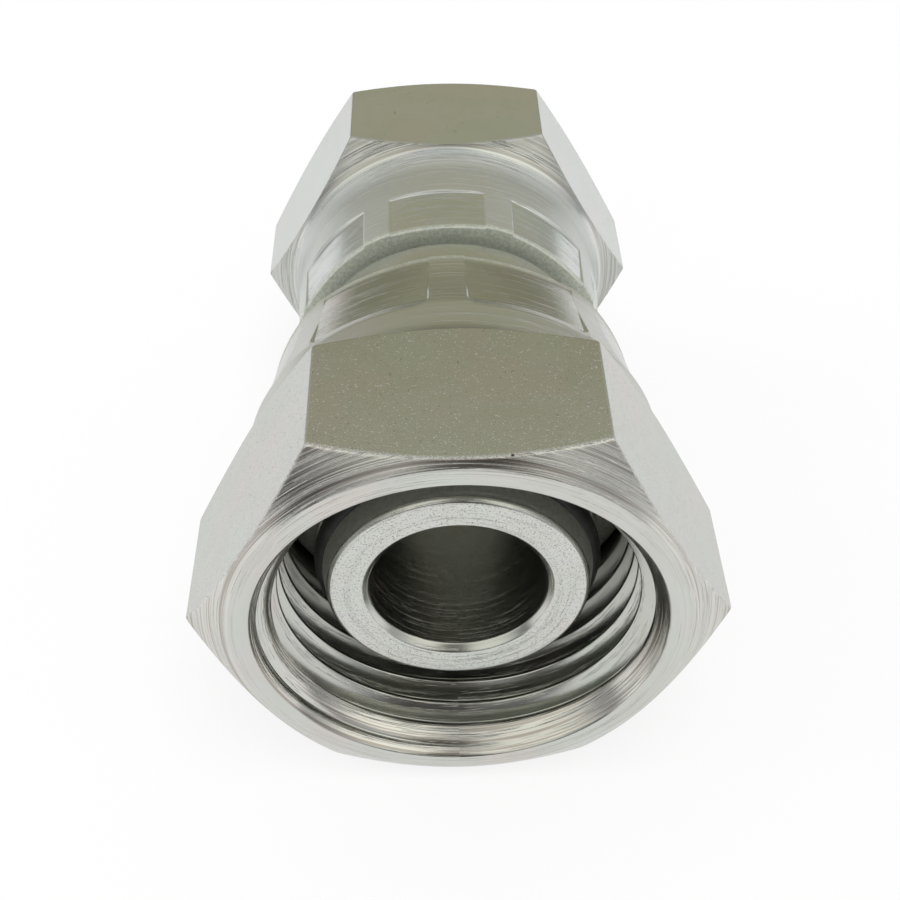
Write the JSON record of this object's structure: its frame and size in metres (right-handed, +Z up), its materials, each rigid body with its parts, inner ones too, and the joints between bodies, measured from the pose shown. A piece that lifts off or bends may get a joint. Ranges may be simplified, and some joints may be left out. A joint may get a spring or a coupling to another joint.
{
  "type": "straight hydraulic fitting",
  "caption": "Straight reducing hydraulic adaptor: a bored steel body with a sealed cone nose at each end, held in two crimped-on swivel nuts of different size.",
  "frame": {"origin": "on the fitting's axis, midway between the mouth faces of the two nuts", "axes": "+Y along the axis from the large nut to the small nut, +Z up out of the upper flat of each hexagon, +X to the right as seen from the large mouth"},
  "size_m": [0.037, 0.05, 0.032],
  "materials": {
    "turned_body": "turned and zinc plated",
    "plated_nut": "zinc plated, satin",
    "seal_rubber": "smooth, slightly oily"
  },
  "bodies": {
    "body": {"fitting_body": "turned_body", "large_o_ring": "seal_rubber", "small_o_ring": "seal_rubber"},
    "large_nut": {"large_swivel_nut": "plated_nut"},
    "small_nut": {"small_swivel_nut": "plated_nut"}
  },
  "joints": [
    {"name": "large_nut_spin", "type": "hinge", "parent": "body", "child": "large_nut", "pos_m": [0, -0.015, 0], "axis": [0, 1, 0], "continuous": true},
    {"name": "small_nut_spin", "type": "hinge", "parent": "body", "child": "small_nut", "pos_m": [0, 0.015, 0], "axis": [0, 1, 0], "continuous": true}
  ]
}
